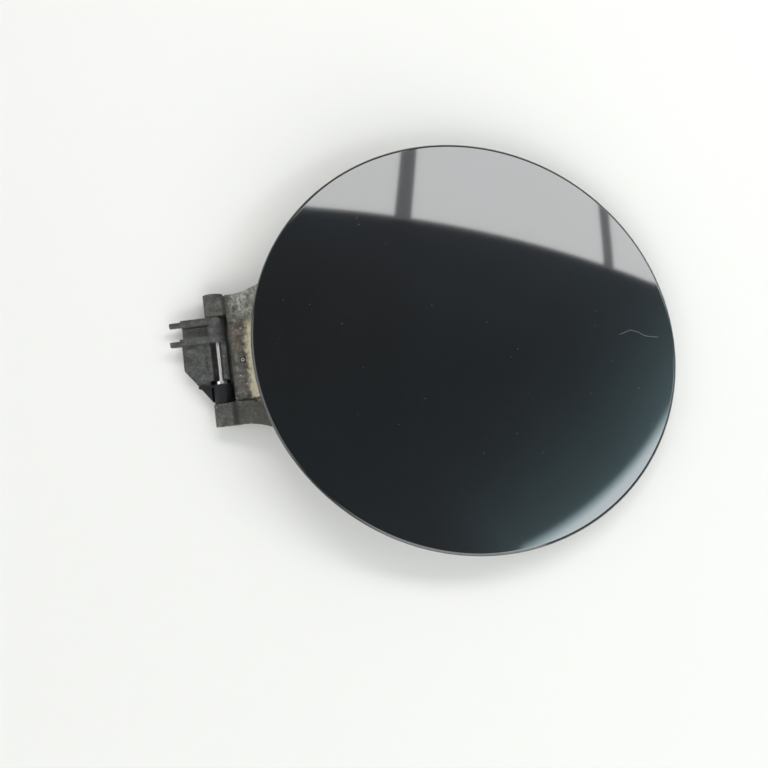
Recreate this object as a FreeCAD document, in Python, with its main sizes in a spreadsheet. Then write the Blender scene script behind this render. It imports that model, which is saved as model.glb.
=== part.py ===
import FreeCAD, Part
import os
import re
import Sketcher
from FreeCAD import Placement, Rotation, Vector

# Fuel filler flap of a car: an oval domed lid on a flared hinge arm, which turns on a steel pin in a
# hinge base. Lengths are millimetres and angles are degrees. The hinge axis runs along Y, the lid
# lies towards +X, and z = 0 is the base's mounting face, with the origin right under the hinge axis.
# The flap lies face up: it rests on the base and on the tips of the lid's two rubber bumpers.
SIZES = {
    # lid: outline, crown and turned rim
    "lid_length": 178.0,
    "lid_width": 165.7,
    "lid_turn": -34.7,
    "lid_reach": 101.8,
    "lid_offset": -8.2,
    "rim_height": 20.0,
    "rim_wall": 2.4,
    "rim_round": 1.6,
    "crown_radius": 610.0,
    "sheet_gauge": 0.8,
    "hem_width": 9.0,
    # inner panel under the hem
    "panel_inset": 2.5,
    "pan_inset": 14.0,
    "pan_depth": 3.0,
    "pan_round": 2.0,
    # hinge axis and knuckles
    "axis_height": 5.0,
    "pin_dia": 2.0,
    "pin_clearance": 0.05,
    "base_half": 18.2,
    "joint_gap": 0.2,
    "arm_half": 27.8,
    "arm_knuckle_dia": 8.4,
    "base_knuckle_dia": 7.4,
    "cap_wall": 1.8,
    "window_top": 7.6,
    "window_bottom": -10.2,
    # hinge arm
    "arm_start": 5.5,
    "arm_level": 7.8,
    "arm_wall": 3.0,
    "ramp_start": 9.0,
    "ramp_run": 13.0,
    "ramp_lag": 2.5,
    "arm_end": 88.0,
    "root_upper": 26.0,
    "root_lower": -28.0,
    "neck_end": 13.0,
    "spread_start": 38.0,
    "spread_upper": 33.0,
    "spread_lower": -39.0,
    "tip_upper": 20.0,
    "tip_lower": -26.0,
    "neck_round": 30.0,
    "tip_round": 14.0,
    "pocket_drop": 0.6,
    "pocket_end": 12.5,
    "pocket_upper": 14.0,
    "pocket_lower": -17.5,
    "pocket_slope": 0.69,
    "seam_width": 0.5,
    "seam_depth": 0.8,
    "seam_start": 6.7,
    "seam_end": 18.0,
    "stamp_side": 3.6,
    "stamp_dia": 2.2,
    "stamp_height": 0.4,
    "stamp_reach": 10.2,
    "stamp_offset": -1.7,
    "web_drop": 1.0,
    "rib_wall": 1.8,
    "rib_height": 4.0,
    "rib_gap": 5.5,
    # hinge base
    "base_left": -15.0,
    "base_right": 6.4,
    "base_notch": 2.6,
    "base_plate": 2.2,
    "deck_height": 6.0,
    "corner_start": -2.8,
    "corner_end": -3.6,
    "base_rib": 2.8,
    "base_rib_height": 8.0,
    "trough_left": -4.4,
    "trough_wall": 1.6,
    "trough_height": 7.4,
    "trough_end": 0.5,
    "slot_right": 1.4,
    "slot_wall": 2.2,
    "slot_height": 6.4,
    "tab_reach": 4.2,
    "tab_dia": 2.4,
    "tab_width": 2.0,
    "deck_round": 0.8,
    "deck_rib": 0.9,
    "deck_rib_start": -9.5,
    # return spring and retaining clip
    "spring_dia": 4.0,
    "spring_wire": 0.7,
    "spring_pitch": 1.4,
    "spring_turns": 7.0,
    "spring_leg": 2.2,
    "spring_room": 0.5,
    "clip_dia": 4.4,
    "clip_wall": 1.2,
    "clip_mouth": 1.4,
    "clip_gap": 0.15,
    # latch keeper on the lid's back
    "catch_reach": 150.0,
    "catch_length": 18.0,
    "catch_width": 32.0,
    "catch_height": 4.4,
    "catch_round": 4.0,
    "catch_bore": 9.0,
    "catch_screw_gap": 10.8,
    # screws
    "arm_screw_dia": 3.8,
    "arm_head_dia": 8.0,
    "arm_head": 2.4,
    "arm_head_round": 0.9,
    "arm_drive_length": 4.0,
    "arm_drive_width": 1.2,
    "catch_screw_dia": 2.9,
    "catch_head_dia": 5.4,
    "catch_head": 1.8,
    "catch_head_round": 0.6,
    "catch_drive_length": 2.8,
    "catch_drive_width": 0.9,
    "head_room": 0.3,
    "screw_past": 2.5,
    "front_screw_reach": 42.0,
    "front_screw_gap": 20.0,
    "rear_screw_reach": 76.0,
    "rear_screw_gap": 13.0,
    # rubber bumpers
    "bumper_reach": 152.0,
    "bumper_gap": 32.0,
    "bumper_dia": 9.0,
    "bumper_drop": 9.8,
    "bumper_stem": 4.0,
    "bumper_barb": 5.6,
    "bumper_tip": 3.2,
    "bumper_barb_height": 1.6,
}

doc = FreeCAD.newDocument("fuel_filler_flap")
sheet = doc.addObject("Spreadsheet::Sheet", "Sizes")
for row, (alias, number) in enumerate(SIZES.items(), start=1):
    sheet.set(f"A{row}", alias)
    sheet.set(f"B{row}", str(number))
    sheet.setAlias(f"B{row}", alias)
doc.recompute()

ALIAS = re.compile(r"\b(" + "|".join(SIZES) + r")\b")

# Lid pieces lean about the hinge axis until the bumper tips reach z = 0.
SEAT = "(rim_height - sheet_gauge - pan_depth)"
TIP_CENTRE = "(rim_height - bumper_drop + bumper_dia / 2)"
LEAN = (
    f"atan2({TIP_CENTRE}; bumper_reach)"
    f" + asin((axis_height - bumper_dia / 2) / sqrt(bumper_reach ^ 2 + {TIP_CENTRE} ^ 2))"
)
RIM_TOP = "(rim_height + rim_wall)"
LONG_HALF = "(max(lid_length; lid_width) / 2)"
SHORT_HALF = "(min(lid_length; lid_width) / 2)"
LONG_TURN = "(lid_length < lid_width ? lid_turn + 90 : lid_turn)"
CROWN_CENTRE = f"{RIM_TOP} - sqrt(crown_radius ^ 2 - {LONG_HALF} ^ 2)"
CROWN_TOP = f"({CROWN_CENTRE} + crown_radius)"
nodes = []


def linked(formula):
    """Write a formula of size names as one that reads the sheet."""
    return ALIAS.sub(r"Sizes.\1", formula)


def size(formula):
    """The present value of a formula of size names."""
    number = sheet.evalExpression(linked(formula))
    return getattr(number, "Value", number)


def bind(item, prop, formula):
    item.setExpression(prop, linked(formula))


def place(item, x="0", y="0", z="0"):
    for axis, formula in zip("xyz", (x, y, z)):
        bind(item, f".Placement.Base.{axis}", formula)


def block(name, x, y, z):
    """A box between the start and end formulas of each axis."""
    item = doc.addObject("Part::Box", name)
    for prop, (start, end) in zip(("Length", "Width", "Height"), (x, y, z)):
        bind(item, prop, f"({end}) - ({start})")
    place(item, x[0], y[0], z[0])
    return item


TURNS = {
    "X": Rotation(Vector(0, 1, 0), 90),
    "Y": Rotation(Vector(1, 0, 0), -90),
    "Z": Rotation(),
}


def rod(name, radius, span, along="Y", x="0", y="0", z="0"):
    """A round bar that runs along one axis between the two formulas of span."""
    item = doc.addObject("Part::Cylinder", name)
    bind(item, "Radius", radius)
    bind(item, "Height", f"({span[1]}) - ({span[0]})")
    item.Placement = Placement(Vector(), TURNS[along])
    start = {"X": x, "Y": y, "Z": z}
    start[along] = span[0]
    place(item, start["X"], start["Y"], start["Z"])
    return item


# An axis is kept only while its turn isn't zero, so a turned piece starts a degree round.
START_TURN = 1


def turn_with_lid(item):
    """Turn an item about Z so that its X lies along the lid's long axis."""
    item.Placement = Placement(Vector(), Rotation(Vector(0, 0, 1), START_TURN))
    bind(item, ".Placement.Rotation.Angle", LONG_TURN)


def oval(name, inset, z):
    """A prism of the lid's oval outline, drawn in by inset, between two heights."""
    outline = doc.addObject("Part::Ellipse", name + "_outline")
    bind(outline, "MajorRadius", f"{LONG_HALF} - ({inset})")
    bind(outline, "MinorRadius", f"{SHORT_HALF} - ({inset})")
    turn_with_lid(outline)
    place(outline, "lid_reach", "lid_offset", z[0])
    item = doc.addObject("Part::Extrusion", name)
    item.Base = outline
    item.DirMode = "Custom"
    item.Dir = Vector(0, 0, 1)
    item.Solid = True
    bind(item, "LengthFwd", f"({z[1]}) - ({z[0]})")
    return item


def crown(name, inset):
    """The large ball whose top is the lid's dome, drawn in by inset."""
    item = doc.addObject("Part::Sphere", name)
    bind(item, "Radius", f"crown_radius - {inset}")
    turn_with_lid(item)
    place(item, "lid_reach", "lid_offset", CROWN_CENTRE)
    return item


def fuse(name, *items):
    item = doc.addObject("Part::MultiFuse", name)
    item.Shapes = list(items)
    item.Refine = True
    return item


def cut(name, base, tool):
    item = doc.addObject("Part::Cut", name)
    item.Base = base
    item.Tool = tool
    item.Refine = True
    return item


def common(name, *items):
    item = doc.addObject("Part::MultiCommon", name)
    item.Shapes = list(items)
    item.Refine = True
    return item


def rounded(name, base, radius, chosen):
    """Fillet the edges of base for which chosen says yes."""
    doc.recompute()
    item = doc.addObject("Part::Fillet", name)
    item.Base = base
    edges = enumerate(base.Shape.Edges, start=1)
    item.Edges = [(number, size(radius), size(radius)) for number, edge in edges if chosen(edge)]
    return item


def profile(name, plane, points, length, reversed_pad=False):
    """A padded outline whose corners are pairs of formulas, in a body of its own."""
    body = doc.addObject("PartDesign::Body", name)
    sketch = body.newObject("Sketcher::SketchObject", name + "_outline")
    support = [part for part in body.Origin.OriginFeatures if part.Role == plane]
    sketch.AttachmentSupport = [(support[0], "")]
    sketch.MapMode = "FlatFace"
    corners = [Vector(size(across), size(up), 0) for across, up in points]
    for number, corner in enumerate(corners):
        sketch.addGeometry(Part.LineSegment(corner, corners[(number + 1) % len(corners)]), False)
    for number in range(len(corners)):
        follower = (number + 1) % len(corners)
        sketch.addConstraint(Sketcher.Constraint("Coincident", number, 2, follower, 1))
    for number, point in enumerate(points):
        for kind, formula in zip(("DistanceX", "DistanceY"), point):
            held = Sketcher.Constraint(kind, -1, 1, number, 1, size(formula))
            bind(sketch, f"Constraints[{sketch.addConstraint(held)}]", formula)
    pad = body.newObject("PartDesign::Pad", name + "_pad")
    pad.Profile = sketch
    pad.Reversed = reversed_pad
    bind(pad, "Length", length)
    body.Tip = pad
    return body


def finish(item, label):
    item.Label = label
    nodes.append(item)


def finish_lid(item, label):
    """Name a piece of the lid and lean it about the hinge axis."""
    item.Placement = Placement(Vector(), Rotation(Vector(0, 1, 0), START_TURN))
    bind(item, ".Placement.Rotation.Angle", LEAN)
    place(item, z="axis_height")
    finish(item, label)


# How near an edge lies to a place to count as there, and how far off it counts as clear of it.
NEAR = 0.01
CLEAR = 0.1


def upright(edge):
    box = edge.BoundBox
    return box.XLength < NEAR and box.YLength < NEAR


def upright_at(edge, *reaches):
    return upright(edge) and any(abs(edge.BoundBox.XMin - size(reach)) < NEAR for reach in reaches)


def ring_at(edge, height):
    """Whether an edge goes round at one height."""
    box = edge.BoundBox
    return edge.isClosed() and abs(box.ZMin - size(height)) < NEAR and abs(box.ZMax - size(height)) < NEAR


def ring_above(edge, height):
    """Whether an edge goes round wholly above a height."""
    return edge.isClosed() and edge.Length > 1 and edge.BoundBox.ZMin > size(height) + CLEAR


def level_left_of(edge, height, reach):
    """Whether an edge lies at one height and starts left of reach."""
    box = edge.BoundBox
    level = abs(box.ZMin - size(height)) < NEAR and abs(box.ZMax - size(height)) < NEAR
    return level and box.XMin < size(reach) - NEAR and box.YLength > NEAR


# Outer skin: pressed sheet with a low dome, turned down at the rim and under as a flat hem.
skin_blank = oval("skin_blank", "0", ("rim_height", CROWN_TOP))
skin_form = common("skin_form", skin_blank, crown("skin_crown", "0"))
skin_form = rounded("skin_rim", skin_form, "rim_round", lambda edge: ring_above(edge, "rim_height"))
hollow_blank = oval("hollow_blank", "sheet_gauge", ("rim_height + sheet_gauge", CROWN_TOP))
hollow = common("skin_hollow", hollow_blank, crown("hollow_crown", "sheet_gauge"))
hollow = rounded(
    "hollow_rim",
    hollow,
    "rim_round - sheet_gauge",
    lambda edge: ring_above(edge, "rim_height + sheet_gauge"),
)
mouth = oval("skin_mouth", "hem_width", ("rim_height - sheet_gauge", "rim_height + 2 * sheet_gauge"))
finish_lid(cut("skin_shell", skin_form, fuse("skin_inside", hollow, mouth)), "outer_skin")

# Inner panel: flat flange bonded to the hem's underside, with a shallow pan pressed down inside it.
flange = oval("panel_flange", "panel_inset", ("rim_height - sheet_gauge", "rim_height"))
pan_form = oval("pan_form", "pan_inset", (SEAT, "rim_height - sheet_gauge"))
panel_form = fuse("panel_form", flange, pan_form)
panel_form = rounded("panel_edge", panel_form, "pan_round", lambda edge: ring_at(edge, SEAT))
PAN_FLOOR = f"({SEAT} + sheet_gauge)"
pan_hollow = oval("pan_hollow", "pan_inset + sheet_gauge", (PAN_FLOOR, "rim_height + sheet_gauge"))
pan_hollow = rounded(
    "pan_hollow_edge",
    pan_hollow,
    "pan_round - sheet_gauge",
    lambda edge: ring_at(edge, PAN_FLOOR),
)
SCREW_SPOTS = [
    (f"{row}_screw_reach", f"{side}{row}_screw_gap") for row in ("front", "rear") for side in ("", "-")
]
CATCH_SPOTS = [("catch_reach", f"lid_offset {side} catch_screw_gap") for side in "+-"]
BUMPER_SPOTS = {
    "upper": ("bumper_reach", "lid_offset + bumper_gap"),
    "lower": ("bumper_reach", "lid_offset - bumper_gap"),
}
PAN_SPAN = (f"{SEAT} - sheet_gauge", f"{PAN_FLOOR} + sheet_gauge")
panel_holes = []
for number, spot in enumerate(SCREW_SPOTS):
    panel_holes.append(rod(f"panel_arm_hole{number}", "arm_screw_dia / 2", PAN_SPAN, "Z", *spot))
for number, spot in enumerate(CATCH_SPOTS):
    panel_holes.append(rod(f"panel_catch_hole{number}", "catch_screw_dia / 2", PAN_SPAN, "Z", *spot))
for side, spot in BUMPER_SPOTS.items():
    panel_holes.append(rod(f"panel_bumper_hole_{side}", "bumper_stem / 2", PAN_SPAN, "Z", *spot))
panel_openings = fuse("panel_openings", pan_hollow, *panel_holes)
finish_lid(cut("panel_cut", panel_form, panel_openings), "inner_panel")

# Hinge arm: one moulding. A level root carries the two outer knuckles, a ramp climbs under the lid's
# edge, and a flared plate lies against the pan.
RAMP_END = "(ramp_start + ramp_run)"
arm_side = profile(
    "arm_side",
    "XZ_Plane",
    [
        ("arm_start", "arm_level - arm_wall"),
        ("ramp_start + ramp_lag", "arm_level - arm_wall"),
        (f"{RAMP_END} + ramp_lag", f"{SEAT} - arm_wall"),
        ("arm_end", f"{SEAT} - arm_wall"),
        ("arm_end", SEAT),
        (RAMP_END, SEAT),
        ("ramp_start", "arm_level"),
        ("arm_start", "arm_level"),
    ],
    "4 * arm_half",
)
arm_side.Tip.SideType = "Symmetric"
arm_plan = profile(
    "arm_plan",
    "XY_Plane",
    [
        ("arm_start", "root_lower"),
        ("neck_end", "root_lower"),
        ("spread_start", "spread_lower"),
        ("arm_end", "tip_lower"),
        ("arm_end", "tip_upper"),
        ("spread_start", "spread_upper"),
        ("neck_end", "root_upper"),
        ("arm_start", "root_upper"),
    ],
    "2 * rim_height",
)
arm_plan = rounded(
    "arm_flare",
    arm_plan,
    "neck_round",
    lambda edge: upright_at(edge, "neck_end", "spread_start"),
)
arm_plan = rounded("arm_tip", arm_plan, "tip_round", lambda edge: upright_at(edge, "arm_end"))
arm_plate = common("arm_plate", arm_side, arm_plan)

ARM_INNER = "(base_half + joint_gap)"
ARM_SIDES = {
    "upper": ((ARM_INNER, "arm_half"), ARM_INNER, f"min(arm_half; root_upper) - {ARM_INNER}"),
    "lower": (("-arm_half", f"-{ARM_INNER}"), f"-{ARM_INNER}", f"min(arm_half; -root_lower) - {ARM_INNER}"),
}
arm_knuckles = []
for side, (span, web_start, web_width) in ARM_SIDES.items():
    arm_knuckles.append(rod(f"arm_knuckle_{side}", "arm_knuckle_dia / 2", span))
    web = profile(
        f"arm_web_{side}",
        "XZ_Plane",
        [
            ("-pin_dia / 2", "web_drop - arm_knuckle_dia / 2"),
            ("arm_start", "web_drop - arm_knuckle_dia / 2"),
            ("ramp_start + ramp_lag", "arm_level - arm_wall + web_drop"),
            ("arm_start + web_drop", "arm_level - web_drop"),
            ("-pin_dia / 2", "arm_knuckle_dia / 2 - web_drop"),
        ],
        web_width,
        reversed_pad=side == "upper",
    )
    place(web, y=web_start)
    arm_knuckles.append(web)

# Two ribs under the plate stand clear of the screw heads on both sides.
arm_ribs = []
for side, across in {"upper": "rib_gap", "lower": "-rib_gap - rib_wall"}.items():
    arm_ribs.append(
        block(
            f"arm_rib_{side}",
            (f"{RAMP_END} + ramp_lag", "arm_end - tip_round"),
            (across, f"{across} + rib_wall"),
            (f"{SEAT} - arm_wall - rib_height", f"{SEAT} - arm_wall / 2"),
        )
    )
STAMP_FLOOR = "(arm_level - pocket_drop)"
stamp = block(
    "arm_stamp",
    ("stamp_reach - stamp_side / 2", "stamp_reach + stamp_side / 2"),
    ("stamp_offset - stamp_side / 2", "stamp_offset + stamp_side / 2"),
    (f"{STAMP_FLOOR} - stamp_height", f"{STAMP_FLOOR} + stamp_height"),
)
stamp_ring = rod(
    "arm_stamp_ring",
    "stamp_dia / 2",
    (STAMP_FLOOR, f"{STAMP_FLOOR} + 2 * stamp_height"),
    "Z",
    "stamp_reach",
    "stamp_offset",
)

# The pocket between the wings has a level floor and slanted walls.
POCKET_RISE = f"({SEAT} + arm_wall - {STAMP_FLOOR})"
pocket = doc.addObject("Part::Wedge", "arm_pocket")
pocket_limits = {
    "Xmin": "arm_start - arm_wall",
    "X2min": "arm_start - arm_wall",
    "Xmax": "pocket_end",
    "X2max": f"pocket_end + pocket_slope * {POCKET_RISE}",
    "Ymin": "0",
    "Ymax": POCKET_RISE,
    "Zmin": "-pocket_upper",
    "Z2min": f"-pocket_upper - pocket_slope * {POCKET_RISE}",
    "Zmax": "-pocket_lower",
    "Z2max": f"-pocket_lower + pocket_slope * {POCKET_RISE}",
}
for prop, formula in pocket_limits.items():
    bind(pocket, prop, formula)
pocket.Placement = Placement(Vector(), Rotation(Vector(1, 0, 0), 90))
place(pocket, z=STAMP_FLOOR)

# A fine parting slot crosses the ramp at the pocket's lower end.
RAMP_RISE = f"(({SEAT} - arm_level) / ramp_run)"
seam = profile(
    "arm_seam",
    "XZ_Plane",
    [
        ("seam_start", "arm_level - seam_depth"),
        ("ramp_start", "arm_level - seam_depth"),
        ("seam_end", f"arm_level - seam_depth + (seam_end - ramp_start) * {RAMP_RISE}"),
        ("seam_end", f"{SEAT} + arm_wall"),
        ("seam_start", f"{SEAT} + arm_wall"),
    ],
    "seam_width",
)
place(seam, y="pocket_lower - seam_width")

PIN_SPAN = ("-arm_half", "arm_half - cap_wall")
SPRING_BORE = "(spring_dia / 2 + spring_wire / 2 + spring_room)"
SPRING_LENGTH = "(spring_pitch * spring_turns)"
SPRING_TOP = "(base_half + joint_gap + 3 * spring_wire)"
SPRING_BOTTOM = f"({SPRING_TOP} - {SPRING_LENGTH})"
arm_bore = rod("arm_bore", "pin_dia / 2", PIN_SPAN)
arm_spring_bore = rod(
    "arm_spring_bore", SPRING_BORE, ("base_half", f"{SPRING_TOP} + spring_wire / 2 + spring_room")
)
LEG_SLOT = "(spring_wire / 2 + spring_room / 2)"
LEG_ROOM = "(spring_leg + spring_room)"
arm_leg_slot = block(
    "arm_leg_slot",
    (f"spring_dia / 2 - {LEG_SLOT}", f"spring_dia / 2 + {LEG_SLOT}"),
    ("base_half", f"{SPRING_TOP} + spring_wire / 2 + spring_room"),
    (f"-{LEG_ROOM}", "0"),
)
arm_holes = []
for number, spot in enumerate(SCREW_SPOTS):
    span = (f"{SEAT} - 2 * arm_wall", f"{SEAT} + arm_wall")
    arm_holes.append(rod(f"arm_screw_hole{number}", "arm_screw_dia / 2", span, "Z", *spot))
arm_body = fuse("arm_body", arm_plate, *arm_knuckles, *arm_ribs)
arm_body = cut("arm_pocketed", arm_body, fuse("arm_dips", pocket, seam))
arm_body = fuse("arm_stamped", arm_body, stamp, stamp_ring)
arm_voids = fuse("arm_voids", arm_bore, arm_spring_bore, arm_leg_slot, *arm_holes)
finish_lid(cut("arm_cut", arm_body, arm_voids), "hinge_arm")


def screw(name, kind, spot, seat, tip):
    """A round headed screw that points up, with a cross slot in its head."""
    reach, across = spot
    underside = f"({seat} - {kind}_head)"
    head = rod(name + "_head", f"{kind}_head_dia / 2", (underside, seat), "Z", *spot)
    shank = rod(name + "_shank", f"{kind}_screw_dia / 2", (seat, tip), "Z", *spot)
    form = fuse(name + "_form", head, shank)
    form = rounded(name + "_edge", form, f"{kind}_head_round", lambda edge: ring_at(edge, underside))
    slots = []
    for long_way, wide_way in (("length", "width"), ("width", "length")):
        half_long = f"{kind}_drive_{long_way} / 2"
        half_wide = f"{kind}_drive_{wide_way} / 2"
        slots.append(
            block(
                f"{name}_slot_{long_way}",
                (f"{reach} - {half_long}", f"{reach} + {half_long}"),
                (f"{across} - {half_wide}", f"{across} + {half_wide}"),
                (f"{underside} - {kind}_head", f"{underside} + {kind}_head / 2"),
            )
        )
    return cut(name, form, fuse(name + "_drive", *slots))


def group(name, items):
    item = doc.addObject("Part::Compound", name)
    item.Links = items
    return item


# Screws: four through the arm's plate, two through the keeper, all driven from the lid's back.
SCREW_TIP = f"{PAN_FLOOR} + screw_past"
ARM_HEAD_SEAT = f"({SEAT} - arm_wall)"
CATCH_HEAD_SEAT = f"({SEAT} - catch_height + catch_head + head_room)"
arm_screws = [
    screw(f"arm_screw{number}", "arm", spot, ARM_HEAD_SEAT, SCREW_TIP)
    for number, spot in enumerate(SCREW_SPOTS)
]
finish_lid(group("arm_screw_group", arm_screws), "arm_screws")
catch_screws = [
    screw(f"catch_screw{number}", "catch", spot, CATCH_HEAD_SEAT, SCREW_TIP)
    for number, spot in enumerate(CATCH_SPOTS)
]
finish_lid(group("catch_screw_group", catch_screws), "catch_screws")

# Latch keeper: a low moulded block whose round mouth takes the plunger of the latch in the car body.
catch_block = block(
    "catch_block",
    ("catch_reach - catch_length / 2", "catch_reach + catch_length / 2"),
    ("lid_offset - catch_width / 2", "lid_offset + catch_width / 2"),
    (f"{SEAT} - catch_height", SEAT),
)
catch_block = rounded("catch_corners", catch_block, "catch_round", upright)
CATCH_SPAN = (f"{SEAT} - 2 * catch_height", f"{SEAT} + catch_height")
SINK_SPAN = (CATCH_SPAN[0], CATCH_HEAD_SEAT)
catch_voids = [rod("catch_mouth", "catch_bore / 2", CATCH_SPAN, "Z", "catch_reach", "lid_offset")]
for number, spot in enumerate(CATCH_SPOTS):
    catch_voids.append(rod(f"catch_hole{number}", "catch_screw_dia / 2", CATCH_SPAN, "Z", *spot))
    catch_voids.append(rod(f"catch_sink{number}", "catch_head_dia / 2 + head_room", SINK_SPAN, "Z", *spot))
finish_lid(cut("catch_cut", catch_block, fuse("catch_voids", *catch_voids)), "latch_catch")

# Rubber bumpers: a domed head under the pan, a stem through it and a barb above it.
for side, spot in BUMPER_SPOTS.items():
    column = rod(f"bumper_column_{side}", "bumper_dia / 2", (TIP_CENTRE, SEAT), "Z", *spot)
    dome = doc.addObject("Part::Sphere", f"bumper_dome_{side}")
    bind(dome, "Radius", "bumper_dia / 2")
    dome.Angle2 = 0
    place(dome, *spot, TIP_CENTRE)
    stem = rod(f"bumper_stem_{side}", "bumper_stem / 2", (SEAT, PAN_FLOOR), "Z", *spot)
    barb = doc.addObject("Part::Cone", f"bumper_barb_{side}")
    bind(barb, "Radius1", "bumper_barb / 2")
    bind(barb, "Radius2", "bumper_tip / 2")
    bind(barb, "Height", "bumper_barb_height")
    place(barb, *spot, PAN_FLOOR)
    finish_lid(fuse(f"bumper_form_{side}", column, dome, stem, barb), f"bumper_{side}")

# Hinge pin: pressed into the arm's knuckles, it turns in the base's.
finish(rod("pin_rod", "pin_dia / 2", PIN_SPAN, z="axis_height"), "hinge_pin")

# Retaining clip: an open collar on the pin, just above the base's lower knuckle.
CLIP_SPAN = ("window_bottom + clip_gap", "window_bottom + clip_gap + clip_wall")
clip_disc = rod("clip_disc", "clip_dia / 2", CLIP_SPAN)
CLIP_PAST = (f"{CLIP_SPAN[0]} - clip_wall", f"{CLIP_SPAN[1]} + clip_wall")
clip_bore = rod("clip_bore", "pin_dia / 2", CLIP_PAST)
clip_mouth = block(
    "clip_opening",
    ("-clip_mouth / 2", "clip_mouth / 2"),
    CLIP_PAST,
    ("-clip_dia", "0"),
)
finish_lid(cut("clip_cut", clip_disc, fuse("clip_voids", clip_bore, clip_mouth)), "pin_clip")

# Hinge base: one moulding. A plate with a cut corner carries a raised deck, two ribs, the two inner
# knuckles with the pin's trough between them, and two tabs that hook into the car body.
base_outline = [
    ("base_left", "base_half"),
    ("base_right - base_notch", "base_half"),
    ("base_right - base_notch", "base_half - base_notch"),
    ("base_right", "base_half - base_notch"),
    ("base_right", "base_notch / 2 - base_half"),
    ("base_right - base_notch", "base_notch / 2 - base_half"),
    ("base_right - base_notch", "-base_half"),
    ("corner_end", "-base_half"),
    ("base_left", "corner_start"),
]
base_floor = profile("base_floor", "XY_Plane", base_outline, "base_plate")
CORNER_FALL = "((base_half + corner_start) / (corner_end - base_left))"
deck = profile(
    "base_deck",
    "XY_Plane",
    [
        ("base_left", "window_top"),
        ("trough_left", "window_top"),
        ("trough_left", f"corner_start - (trough_left - base_left) * {CORNER_FALL}"),
        ("base_left", "corner_start"),
    ],
    "deck_height",
)
deck = rounded(
    "deck_edge",
    deck,
    "deck_round",
    lambda edge: level_left_of(edge, "deck_height", "trough_left"),
)
base_pieces = [base_floor, deck]
UPPER_SPAN = ("window_top", "base_half")
LOWER_SPAN = ("-base_half", "window_bottom")
for side, span in {"upper": UPPER_SPAN, "lower": LOWER_SPAN}.items():
    base_pieces.append(rod(f"base_knuckle_{side}", "base_knuckle_dia / 2", span, z="axis_height"))
    pillar = ("-base_knuckle_dia / 2", "base_knuckle_dia / 2")
    base_pieces.append(block(f"base_pillar_{side}", pillar, span, ("0", "axis_height")))
RIB_UP = ("0", "base_rib_height")
TAB_END = "base_left - tab_reach"
base_pieces += [
    block("base_rib_upper", ("base_left + deck_round", "0"), ("base_half - base_rib", "base_half"), RIB_UP),
    block("base_rib_middle", ("base_left", "0"), ("window_top", "window_top + base_rib"), RIB_UP),
    block(
        "deck_rib_lower",
        ("deck_rib_start", "0"),
        ("window_bottom - deck_rib", "window_bottom"),
        ("0", "deck_height + deck_rib"),
    ),
    rod(
        "tab_upper",
        "tab_dia / 2",
        (TAB_END, "base_left + base_rib"),
        "X",
        y="base_half - base_rib / 2",
        z="base_rib_height - tab_dia",
    ),
    block(
        "tab_lower",
        (TAB_END, "base_left"),
        ("window_top", "window_top + tab_width"),
        ("deck_height - tab_dia / 2", "base_rib_height"),
    ),
]
TROUGH_SPAN = ("window_bottom + clip_gap + clip_wall + trough_end", "window_top")
TROUGH_WALLS = {
    "left": (("trough_left", "trough_left + trough_wall"), "trough_height"),
    "right": (("slot_right", "slot_right + slot_wall"), "slot_height"),
}
for side, (across, height) in TROUGH_WALLS.items():
    base_pieces.append(block(f"trough_{side}_wall", across, TROUGH_SPAN, ("0", height)))
BASE_SPRING_SPAN = (f"{SPRING_BOTTOM} - spring_wire / 2 - spring_room", ARM_INNER)
BORE_SPAN = (f"-{ARM_INNER}", ARM_INNER)
base_bore = rod("base_bore", "pin_dia / 2 + pin_clearance", BORE_SPAN, z="axis_height")
base_spring_bore = rod("base_spring_bore", SPRING_BORE, BASE_SPRING_SPAN, z="axis_height")
base_leg_slot = block(
    "base_leg_slot",
    (f"spring_dia / 2 - {LEG_SLOT}", f"spring_dia / 2 + {LEG_SLOT}"),
    BASE_SPRING_SPAN,
    ("axis_height", f"axis_height + {LEG_ROOM}"),
)
base_voids = fuse("base_voids", base_bore, base_spring_bore, base_leg_slot)
finish(cut("base_cut", fuse("base_form", *base_pieces), base_voids), "hinge_base")

# Return spring: a wire coil round the pin, one straight leg in the base and one in the arm.
helix = doc.addObject("Part::Helix", "spring_helix")
bind(helix, "Pitch", "spring_pitch")
bind(helix, "Height", SPRING_LENGTH)
bind(helix, "Radius", "spring_dia / 2")
wire = doc.addObject("Part::Circle", "spring_section")
bind(wire, "Radius", "spring_wire / 2")
wire.Placement = Placement(Vector(), TURNS["Y"])
place(wire, x="spring_dia / 2")
doc.recompute()
coil = doc.addObject("Part::Sweep", "spring_coil")
coil.Sections = [wire]
coil.Spine = (helix, [f"Edge{number}" for number in range(1, len(helix.Shape.Edges) + 1)])
coil.Solid = True
coil.Frenet = True
coil.Placement = Placement(Vector(), TURNS["Y"])
place(coil, y=SPRING_BOTTOM, z="axis_height")
legs = [
    rod(
        "spring_leg_base",
        "spring_wire / 2",
        ("axis_height", "axis_height + spring_leg"),
        "Z",
        "spring_dia / 2",
        SPRING_BOTTOM,
    ),
    rod(
        "spring_leg_arm",
        "spring_wire / 2",
        ("axis_height - spring_leg", "axis_height"),
        "Z",
        "spring_dia / 2",
        SPRING_TOP,
    ),
]
finish(fuse("spring_form", coil, *legs), "return_spring")

doc.recompute()
for item in doc.Objects:
    if "Invalid" in item.State or "Error" in item.State:
        raise RuntimeError(f"{item.Name} failed: {item.getStatusString()}")
for node in nodes:
    if node.Shape.isNull() or not node.Shape.isValid() or not node.Shape.Solids:
        raise RuntimeError(f"{node.Label} has no valid solid")

os.makedirs("parts", exist_ok=True)
for node in nodes:
    node.Shape.exportStep(f"parts/{node.Label}.step")
    print(f"{node.Label}: {len(node.Shape.Solids)} solids, {node.Shape.Volume:.1f} mm3")
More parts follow.
